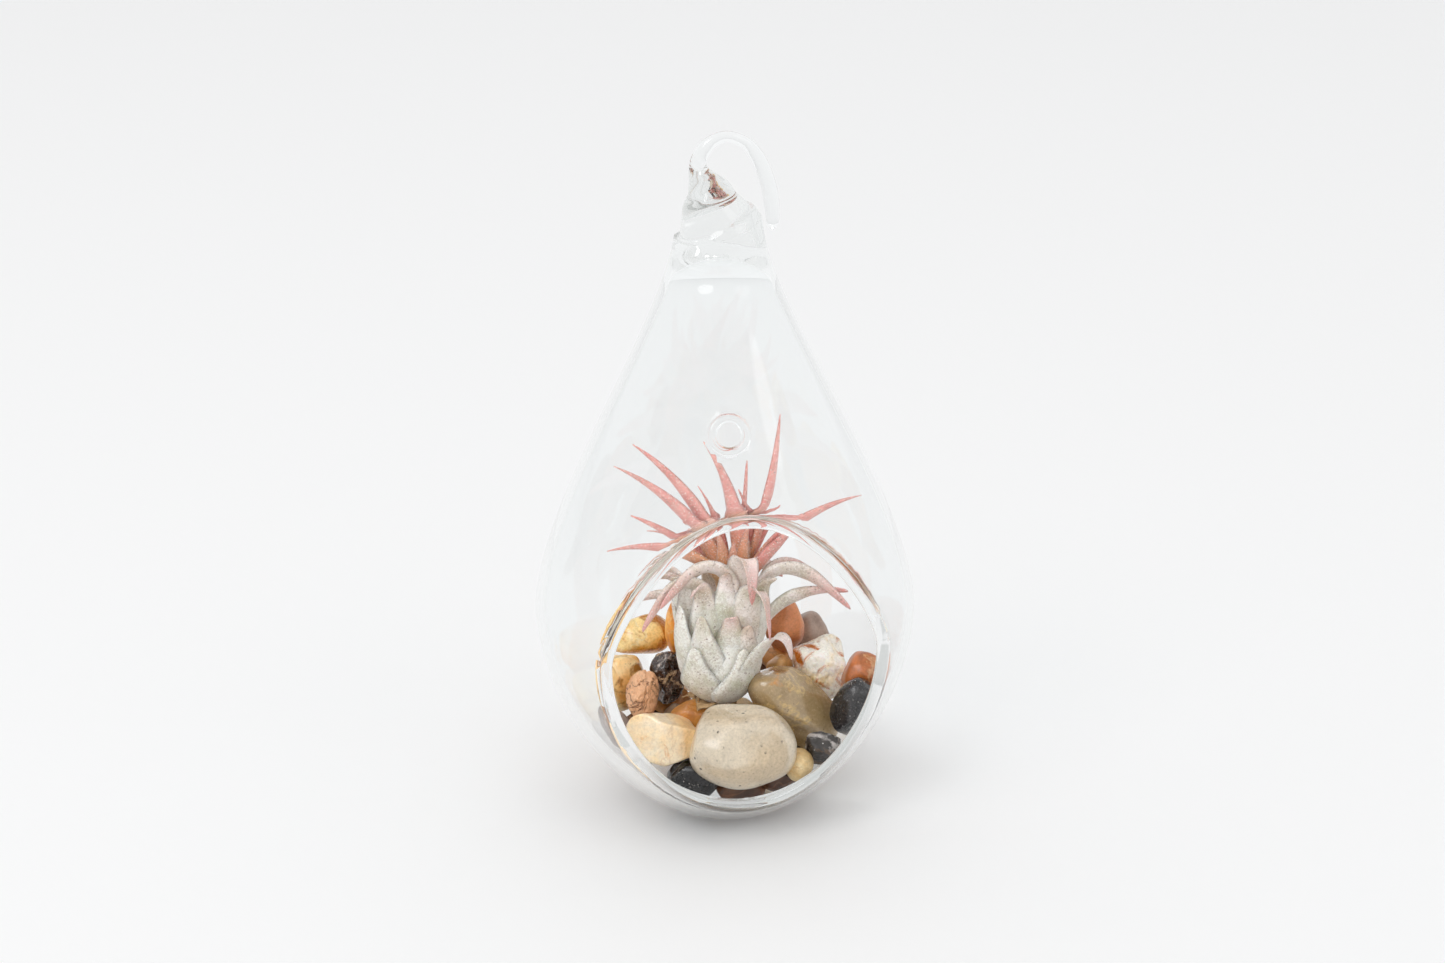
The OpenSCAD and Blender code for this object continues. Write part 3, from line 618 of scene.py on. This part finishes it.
# the stones below and behind: half sizes, turn about the upright, look; the dark and brown looks are partly painted
# shade in the crevices
bedPebbles = [
    ((8, 6.5, 5), 20, tanLook), ((7.5, 6, 5), -50, creamLook), ((6.5, 6, 6), 60, brownStoneAndShadeLook),
    ((7.5, 5.5, 5), 0, greyLook), ((6.5, 5.5, 5.5), 40, creamLook), ((7, 5.5, 6.5), 20, tanLook),
    ((5, 4.5, 3.5), 0, darkStoneAndShadeLook), ((5.5, 5, 6), -20, brownStoneAndShadeLook), ((6.5, 5.5, 5), 5, creamLook),
    ((6, 5, 4.5), 5, brownStoneAndShadeLook), ((5.5, 5, 4.5), 5, darkStoneAndShadeLook), ((5.5, 5, 4.5), 5, brownStoneAndShadeLook),
    ((5.5, 5, 4.5), 5, tanLook), ((5.5, 5, 4.5), 5, creamLook), ((5, 5, 4), 5, darkStoneAndShadeLook),
    ((5, 5, 4.5), 5, brownStoneAndShadeLook), ((5, 4.5, 4), 5, creamLook), ((4.5, 4.5, 3.5), 5, tanLook),
    ((4, 4, 4), 5, greyLook), ((5, 4.5, 4.5), 5, tanLook),
]
for place, (half, turn, look) in enumerate(bedPebbles, 1):
    stoneSettings["bed_pebble_%02d" % place] = (half, (0, 0, turn), *look)


def wornReach(way, planes, look, offset):
    # how far the worn stone reaches along one direction, in shares of its half sizes
    power, pits = look["edge"], look["pits"]
    total = 0.9 ** power
    for axis, level in planes:
        along = way.dot(axis)
        if along > 0:
            total += (along / level) ** power
    reach = total ** (-1 / power)
    swell = noise.noise(way * 1.3 + offset) + 0.5 * noise.noise(way * 2.9 + offset)
    reach *= 1 + look["swell"] * swell
    if pits:
        reach -= (pits * max(0.0, noise.noise(way * 5.5 + offset))
                  + pits * 0.5 * abs(noise.noise(way * 12.0 + offset)))
    return reach


def makeStone(name, half, turns, colours, look, number):
    look = {**stoneUsual, **look}
    low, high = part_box(name)
    centre, reachBox = (Vector(low) + Vector(high)) / 2, (Vector(high) - Vector(low)) / 2
    bm = bmesh.new()
    bmesh.ops.create_icosphere(bm, subdivisions=6 if max(half) > 6 else 5, radius=1.0)
    rng = random.Random(number * 31 + 5)
    # broad planes worn into the round, listed or drawn by the stone's own seed
    planes = [(Vector(way).normalized(), level) for way, level in look["planes"]]
    for _ in range(look["flats"]):
        way = Vector((rng.gauss(0, 1), rng.gauss(0, 1), rng.gauss(0, 1))).normalized()
        planes.append((way, 1 - look["lumps"] * rng.uniform(0.3, 1.0)))
    offset = Vector((number * 1.7, number * 0.9, 3.1))
    aboutX, aboutY, aboutZ = [Matrix.Rotation(math.radians(a), 3, axis) for a, axis in zip(turns, "XYZ")]
    turn = aboutZ @ aboutY @ aboutX
    for vert in bm.verts:
        way = vert.co.normalized()
        reach = wornReach(way, planes, look, offset)
        vert.co = turn @ Vector((way.x * half[0] * reach, way.y * half[1] * reach, way.z * half[2] * reach))
    # stretched to its solid's box times grow, so neighbours overlap, and held clear of the glass
    lowest = [min(v.co[k] for v in bm.verts) for k in range(3)]
    highest = [max(v.co[k] for v in bm.verts) for k in range(3)]
    for vert in bm.verts:
        for k in range(3):
            share = (vert.co[k] - lowest[k]) / (highest[k] - lowest[k]) * 2 - 1
            vert.co[k] = centre[k] + share * reachBox[k] * look["grow"]
        vert.co.z = max(vert.co.z, (glassSizes["baseT"] + 0.15) * mm)
        room = (innerR(vert.co.z / mm) - 0.3) * mm
        away = math.hypot(vert.co.x, vert.co.y)
        if away > room:
            vert.co.x, vert.co.y = vert.co.x * room / away, vert.co.y * room / away
    stone = newPiece(name + "_worn", bm, makeStoneMaterial(name, colours, look))
    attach(stone, "root")
    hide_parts(name)
    return stone


for number, (name, (half, turns, colours, look)) in enumerate(stoneSettings.items()):
    makeStone(name, half, turns, colours, look, number)
print("stones", len(stoneSettings))

# the bulb in millimetres over the plant's foot
plantSizes = {"foot": (-2.45, 1.5), "lean": 8.0, "bulbR": 10.6, "bulbHalf": 14.0, "top": 38.0,
              "bulbRows": [0.4, 1, 2.5, 4.5, 7, 10, 13.5, 17, 20.5, 24, 27, 30, 32.5, 35, 37]}
# angle and height of the root, direction, tilt at root and tip, length, width, how late it bends,
# blush from silver 0 to pink 1, hollow of the section, and for a leaf that folds the place of its fold
leafSettings = [
    (15, 34, 8, 27, 3, 49, 8.5, 0.8, 1, 0.4), (290, 34, 203, -8, 34, 46, 7.5, 1.1, 1, 0.4),
    (195, 34, 178, 8, 50, 49, 8.5, 1.0, 1, 0.4), (200, 34, 188, 14, 58, 49, 8, 0.9, 1, 0.4),
    (135, 34, 165, 0, 32, 29, 5.5, 1.3, 1, 0.4), (40, 34, 15, 8, 2, 35, 6, 1, 1, 0.4),
    (30, 33, 165, -18, 24, 29, 5.5, 1.3, 1, 0.4), (345, 33, 352, 18, 74, 43, 9, 0.8, 1, 0.35),
    (165, 33, 168, 24, 66, 32, 8, 0.7, 1, 0.35), (225, 33, 196, 22, 92, 40, 8.5, 0.8, 0.96, 0.35),
    (150, 33, 158, 12, 92, 27, 6, 0.9, 1, 0.35), (330, 33, 340, 30, 44, 29, 8.5, 1.0, 1, 0.4),
    (10, 33, 15, 20, 34, 25, 7.5, 1.0, 1, 0.4), (350, 32, 345, 24, 38, 25, 7.5, 1.0, 0.95, 0.4),
    # gold brown heart of the rosette
    (300, 32, 300, 4, 22, 23, 7.5, 1.6, 0.9, 0.4), (20, 32, 10, 6, 34, 25, 7.5, 1.5, 0.92, 0.4),
    (240, 32, 240, 4, 34, 22, 7.5, 1.6, 0.9, 0.4), (180, 32, 185, 6, 50, 24, 7.5, 1.5, 0.92, 0.4),
    (150, 32, 140, 6, 50, 24, 7.5, 1.5, 0.92, 0.4), (270, 31, 268, 2, 22, 19, 8, 1.8, 0.88, 0.4),
    (60, 32, 60, 8, 40, 24, 7.5, 1.4, 0.92, 0.4),
    # leaves that stand up round the body and fold over
    (272, 30, 186, 14, 136, 31, 10.5, 3, 0.55, 0.3, 0.44), (292, 26, 288, 2, 178, 34, 11, 5, 0.5, 0.3, 0.62),
    (306, 16, 304, 4, 172, 37, 11.5, 5, 0.42, 0.3, 0.62), (212, 24, 186, 8, 146, 32, 10, 3, 0.55, 0.3, 0.44),
    (232, 13, 222, 2, 120, 29, 12.5, 5, 0.24, 0.3, 0.84), (165, 22, 174, 24, 104, 23, 8.5, 2, 0.3, 0.3, 0.42),
    (335, 27, 350, 18, 134, 38, 10.5, 2.5, 0.5, 0.3, 0.42), (352, 19, 354, 26, 96, 31, 10, 1.5, 0.4, 0.3, 0.5),
    (202, 10, 196, 4, 66, 31, 13, 4, 0.16, 0.3, 0.86), (184, 14, 186, 8, 90, 29, 11, 4, 0.2, 0.3, 0.8),
    (330, 12, 328, 8, 60, 30, 12, 4, 0.16, 0.3, 0.86),
    (262, 22, 250, 0, 60, 21, 11, 4, 0.22, 0.3, 0.86),
    (45, 14, 45, 8, 130, 36, 11, 3, 0.5, 0.3, 0.6), (90, 14, 88, 8, 135, 35, 11, 3, 0.5, 0.3, 0.6),
    (135, 14, 133, 8, 130, 35, 11, 3, 0.5, 0.3, 0.6), (20, 20, 22, 12, 120, 32, 10, 3, 0.45, 0.3, 0.6),
    (68, 22, 66, 6, 110, 30, 10, 3, 0.45, 0.3, 0.6), (112, 22, 110, 6, 110, 30, 10, 3, 0.45, 0.3, 0.6),
    # broad scales wrapped round the bulb
    (278, 12, 270, 6, 56, 20, 13.5, 4, 0.26, 0.26, 0.86), (308, 8, 322, 30, 165, 28, 13, 4, 0.24, 0.26, 0.76),
    (293, 3, 300, 64, -8, 20, 17, 0.7, 0.04, 0.3), (205, 5, 204, 34, -6, 27, 15, 0.8, 0.1, 0.3),
    (240, 8, 238, 24, 2, 23, 14, 0.9, 0.14, 0.3), (300, 10, 300, 14, 12, 18, 13, 1, 0.2, 0.32),
    (170, 8, 170, 22, 6, 22, 13, 0.8, 0.12, 0.32), (15, 7, 15, 22, 6, 22, 13, 0.8, 0.1, 0.32),
    (60, 7, 60, 22, 6, 22, 13, 0.8, 0.1, 0.32), (105, 7, 105, 22, 6, 22, 13, 0.8, 0.1, 0.32),
    (140, 7, 140, 22, 6, 22, 13, 0.8, 0.1, 0.32),
    (232, 2.6, 234, 60, -2, 21, 16, 0.7, 0.0, 0.3), (336, 3, 336, 50, 6, 15, 15, 0.7, 0.0, 0.34),
    (25, 3, 25, 50, 8, 15, 15, 0.7, 0.0, 0.34), (75, 3, 75, 50, 8, 15, 15, 0.7, 0.0, 0.34),
    (130, 3, 130, 50, 8, 15, 15, 0.7, 0.0, 0.34), (185, 2.5, 185, 52, 6, 15, 15, 0.7, 0.0, 0.34),
]
# papery scales at the foot: angle, height, direction, tilts, length, width
huskSettings = [
    (236, 1.6, 236, 70, 96, 8.5, 9), (215, 1.2, 212, 76, 104, 7, 8), (262, 1.3, 262, 78, 100, 6, 7),
    (300, 1.2, 300, 80, 98, 5, 7), (180, 1.4, 180, 74, 96, 6, 7),
]
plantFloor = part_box("air_plant")[0][2] / mm
lean = Matrix.Rotation(math.radians(plantSizes["lean"]), 3, "Y")
foot = Vector((plantSizes["foot"][0], plantSizes["foot"][1], plantFloor))


def bulbR(h):
    p = plantSizes
    if h < p["bulbHalf"]:
        return p["bulbR"] * math.sqrt(max(0.0, 1 - (1 - h / p["bulbHalf"]) ** 2))
    return p["bulbR"] * max(0.0, 1 - ((h - p["bulbHalf"]) / (p["top"] - p["bulbHalf"])) ** 2) ** 1.1


def onBulb(angle, h, share=1.0):
    a = math.radians(angle)
    return foot + lean @ Vector((share * bulbR(h) * math.cos(a), share * bulbR(h) * math.sin(a), h))


def leafGroup():
    ins = [("Blush", "NodeSocketFloat", 0.5), ("Along", "NodeSocketFloat", 0.5), ("Edge", "NodeSocketFloat", 0.0)]
    group, entry, leave = newGroup("feltedLeaf", ins, [
        ("Color", "NodeSocketColor"), ("Height", "NodeSocketFloat"), ("Felt", "NodeSocketFloat")])

    def cloud(scale, detail=3.0):
        values = {"Scale": scale, "Detail": detail, "Roughness": 0.6}
        return onObject(group, "ShaderNodeTexNoise", values).outputs["Fac"]

    def cells(scale):
        return onObject(group, "ShaderNodeTexVoronoi", {"Scale": scale}).outputs["Distance"]

    pale = mixColours(group, rangeOf(group, cloud(180.0), 0.35, 0.65), rgb("F7F5EE"), rgb("E6E3D8"))
    silver = mixColours(group, rangeOf(group, cloud(90.0), 0.52, 0.72), pale, rgb("C4C8AC"))
    salmon = mixColours(group, rangeOf(group, cloud(260.0), 0.3, 0.7), rgb("EFB0A6"), rgb("DF8E86"))
    salmon = mixColours(group, doMath(group, "MULTIPLY", entry.outputs["Edge"], 0.6), salmon, rgb("C66E6A"))
    # gold brown root, silvery middle or salmon blade, pink tip
    rosette = rangeOf(group, entry.outputs["Blush"], 0.55, 0.9)
    golden = rangeOf(group, entry.outputs["Blush"], 0.92, 0.98, 1.15, 0.42)
    root = rangeOf(group, entry.outputs["Along"], 0.04, golden, 1.0, 0.0)
    blade = mixColours(group, root, salmon, rgb("E0AE68"))
    tip = rangeOf(group, entry.outputs["Along"], 0.55, 0.98)
    reach = rangeOf(group, entry.outputs["Blush"], 0.1, 0.42)
    low = mixColours(group, doMath(group, "MULTIPLY", tip, reach), silver, rgb("F09E9C"))
    glow = rangeOf(group, entry.outputs["Blush"], 0.25, 0.6, 0.0, 0.42)
    low = mixColours(group, glow, low, rgb("EBC6BD"))
    colour = mixColours(group, rosette, low, blade)
    # mauve brown dots and the white felt that covers the skin
    mottle = rangeOf(group, cloud(1700.0, 2.0), 0.44, 0.58)
    bare = rangeOf(group, cloud(150.0, 2.0), 0.35, 0.65, 0.1, 0.45)
    colour = mixColours(group, doMath(group, "MULTIPLY", mottle, bare), colour, rgb("A28E7A"))
    dotMask = doMath(group, "MULTIPLY", rangeOf(group, cells(900.0), 0.12, 0.3, 1.0, 0.0),
                     rangeOf(group, cloud(190.0), 0.42, 0.62, 0.0, 0.8))
    colour = mixColours(group, dotMask, colour, rgb("8A6C62"))
    feltMask = rangeOf(group, cells(1900.0), 0.08, 0.42, 1.0, 0.0)
    feltMask = doMath(group, "MULTIPLY", feltMask, rangeOf(group, cloud(1200.0, 2.0), 0.35, 0.6))
    colour = mixColours(group, doMath(group, "MULTIPLY", feltMask, 0.95), colour, rgb("FFFDFA"))
    group.links.new(colour, leave.inputs["Color"])
    group.links.new(feltMask, leave.inputs["Felt"])
    height = doMath(group, "ADD", feltMask, doMath(group, "MULTIPLY", cloud(900.0), 0.6))
    group.links.new(height, leave.inputs["Height"])
    return group


leafFinish = {"Sheen Weight": 0.3, "Sheen Roughness": 0.4, "Subsurface Weight": 0.15,
              "Subsurface Radius": (0.002, 0.0012, 0.0008), "Subsurface Scale": 0.6}


def makeLeafMaterial():
    material, tree, shader, _ = newMaterial("feltedLeafSkin")
    skin = addNode(tree, "ShaderNodeGroup")
    skin.node_tree = leafGroup()
    for label in ("Blush", "Along", "Edge"):
        reader = addNode(tree, "ShaderNodeAttribute", attribute_name=label.lower(), attribute_type="GEOMETRY")
        tree.links.new(reader.outputs["Fac"], skin.inputs[label])
    tree.links.new(skin.outputs["Color"], shader.inputs["Base Color"])
    tree.links.new(rangeOf(tree, skin.outputs["Felt"], 0, 1, 0.5, 0.8), shader.inputs["Roughness"])
    setShader(shader, leafFinish)
    addRelief(tree, shader, skin.outputs["Height"], 0.55, 0.00012)
    return material


huskLook = {"grain": {"Scale": 420.0, "Detail": 6.0, "Distortion": 1.2}, "roughness": 0.75, "relief": (0.7, 0.0002),
            "ramp": ((0.32, "6E4A2C"), (0.68, "D2B184"))}


def makeHuskMaterial():
    material, tree, shader, _ = newMaterial("dryHuskSkin")
    grain = onObject(tree, "ShaderNodeTexNoise", huskLook["grain"])
    ramp = addNode(tree, "ShaderNodeValToRGB")
    for stop, (position, colour) in zip(ramp.color_ramp.elements, huskLook["ramp"]):
        stop.position, stop.color = position, rgb(colour)
    tree.links.new(grain.outputs["Fac"], ramp.inputs["Fac"])
    tree.links.new(ramp.outputs["Color"], shader.inputs["Base Color"])
    shader.inputs["Roughness"].default_value = huskLook["roughness"]
    addRelief(tree, shader, grain.outputs["Fac"], *huskLook["relief"])
    return material


# the leaf's section: across the blade over the top, then back along the underside
sectionAcross = [-1.0, -0.72, -0.36, 0.0, 0.36, 0.72, 1.0, 0.72, 0.36, 0.0, -0.36, -0.72]


def leafHalf(width, t, taper):
    start = min(1.0, 0.62 + 1.5 * t)
    belly = 0.76 + 0.24 * math.sin(math.pi * min(1.0, t + 0.25))
    return width / 2 * start * (0.03 + 0.97 * (1 - t) ** taper) * belly


def tiltAt(t, tilt0, tilt1, bend, knee):
    # without a knee the leaf bends all along, with one it folds over there
    share = t ** bend if knee is None else t ** bend / (t ** bend + (knee / (1 - knee) * (1 - t)) ** bend)
    return math.radians(tilt0 + (tilt1 - tilt0) * share)


def leafWay(tilt, a):
    return Vector((math.sin(tilt) * math.cos(a), math.sin(tilt) * math.sin(a), math.cos(tilt)))


def leafRings(start, azimuth, tilt0, tilt1, length, width, bend, hollow, knee=None, twist=0.0, taper=0.75,
              thick=0.55, steps=34, ripple=0.0, seed=0):
    a = math.radians(azimuth)
    side = Vector((-math.sin(a), math.cos(a), 0))
    rings = []
    at = start.copy()
    for i in range(steps + 1):
        t = i / steps
        under = side.cross(leafWay(tiltAt(t, tilt0, tilt1, bend, knee), a))
        roll = math.radians(twist) * math.cos(a) * min(1.0, 1.8 * t)
        across = side * math.cos(roll) + under * math.sin(roll)
        keel = under * math.cos(roll) - side * math.sin(roll)
        w = leafHalf(width, t, taper)
        h = thick * (0.35 + 0.65 * (1 - t))
        ring = []
        for k, u in enumerate(sectionAcross):
            arch = math.sqrt(max(0.0, 1 - u * u))
            skin = h * (0.25 + 0.75 * arch) if k in range(1, 6) else (-h * 0.6 * arch if k > 6 else 0.0)
            wave = ripple * abs(u) * math.sin(9 * t + seed + 2.4 * u)
            ring.append((at + across * (w * u) + keel * (skin - hollow * w * u * u + wave)) * mm)
        rings.append(ring)
        if i < steps:
            at = at + leafWay(tiltAt((i + 0.5) / steps, tilt0, tilt1, bend, knee), a) * (length / steps)
    return rings


def newLeafMesh():
    # the marks that the leaf skin reads: how far along, how pink, how near the edge
    bm = bmesh.new()
    return bm, {label: bm.verts.layers.float.new(label) for label in ("along", "blush", "edge")}


def addLeaf(bm, layers, rings, blushValue):
    loops = loft(bm, rings)
    for i, loop in enumerate(loops):
        for vert, u in zip(loop, sectionAcross):
            vert[layers["along"]] = i / (len(loops) - 1)
            vert[layers["blush"]] = blushValue
            vert[layers["edge"]] = abs(u) ** 4


def makePlant():
    bm, layers = newLeafMesh()
    body = [[onBulb(9 * k, h) * mm for k in range(40)] for h in plantSizes["bulbRows"]]
    for loop in loft(bm, body):
        for vert in loop:
            vert[layers["along"]], vert[layers["blush"]] = 0.3, 0.1
    for number, row in enumerate(leafSettings):
        angle, h, azimuth, tilt0, tilt1, length, width, bend, pink, hollow, *knee = row
        upper = pink > 0.8
        addLeaf(bm, layers, leafRings(onBulb(angle, h, 0.8), azimuth, tilt0, tilt1, length, width, bend, hollow,
                                      knee=knee[0] if knee else None, twist=58 if h > 9.5 else 10,
                                      taper=0.75 if upper else 0.5, thick=0.5 if upper else 0.7,
                                      ripple=0.12, seed=number), pink)
    finishNormals(bm)
    plant = newPiece("tufted_leaves", bm, makeLeafMaterial())
    bm, layers = newLeafMesh()
    for number, (angle, h, azimuth, tilt0, tilt1, length, width) in enumerate(huskSettings):
        addLeaf(bm, layers, leafRings(onBulb(angle, h, 0.8), azimuth, tilt0, tilt1, length, width, 1.0, 0.2,
                                      thick=0.25, ripple=0.5, seed=number * 2.1), 0.0)
    finishNormals(bm)
    husks = newPiece("dry_husks", bm, makeHuskMaterial())
    for piece in (plant, husks):
        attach(piece, "root")
        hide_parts("air_plant")
    print("plant", len(plant.data.polygons), len(husks.data.polygons))


makePlant()

studioLook = {"floor": "FAFAFA", "world": (0.99, 0.995, 1.0, 1.0), "worldStrength": 0.78,
              "worldSeen": 0.96,
              "lamps": {"keyLight": ((-1.5, -1.3, 2.4), 1.6, 23.0), "fillLight": ((1.8, -1.6, 2.0), 1.6, 6.0)},
              "lampAim": (0, 0, 0.06), "tableHalf": 6.0, "lens": 2800 / 1445 * 36, "sensor": 36.0,
              "camera": (-0.09879, -0.66803, 0.3662), "cameraTurns": (67.9975, 0.8345, -8.7372)}


def makeStudio():
    bm = bmesh.new()
    bmesh.ops.create_grid(bm, x_segments=1, y_segments=1, size=studioLook["tableHalf"])
    material, _, shader, _ = newMaterial("paleTable")
    setShader(shader, {"Base Color": rgb(studioLook["floor"]), "Roughness": 0.7, "Specular IOR Level": 0.2})
    floor = newPiece("pale_table", bm, material, smooth=False)
    world = bpy.data.worlds.new("paleStudio")
    world.use_nodes = True
    bpy.context.scene.world = world
    tree = world.node_tree
    shade = tree.nodes["Background"]
    shade.inputs["Color"].default_value = studioLook["world"]
    # what the glass mirrors and bends is a white surround, while the table gets a softer light
    path = addNode(tree, "ShaderNodeLightPath")
    seen = doMath(tree, "MAXIMUM", path.outputs["Is Glossy Ray"], path.outputs["Is Transmission Ray"])
    seen = doMath(tree, "MAXIMUM", path.outputs["Is Camera Ray"], seen)
    strength = rangeOf(tree, seen, 0.0, 1.0, studioLook["worldStrength"], studioLook["worldSeen"])
    tree.links.new(strength, shade.inputs["Strength"])
    for name, (place, size, power) in studioLook["lamps"].items():
        lamp = bpy.data.lights.new(name, "AREA")
        lamp.shape = "DISK"
        lamp.size = size
        lamp.energy = power
        holder = bpy.data.objects.new(name, lamp)
        holder.location = place
        holder.rotation_euler = (Vector(studioLook["lampAim"]) - Vector(place)).to_track_quat("-Z", "Y").to_euler()
        bpy.context.scene.collection.objects.link(holder)


makeStudio()

view = bpy.data.cameras.new("photoView")
view.sensor_width = studioLook["sensor"]
view.sensor_fit = "HORIZONTAL"
view.lens = studioLook["lens"]
viewer = bpy.data.objects.new("photoView", view)
viewer.location = studioLook["camera"]
viewer.rotation_euler = [math.radians(a) for a in studioLook["cameraTurns"]]
bpy.context.scene.collection.objects.link(viewer)
bpy.context.scene.camera = viewer
bpy.context.scene.view_settings.view_transform = "Standard"
print("studio ready")
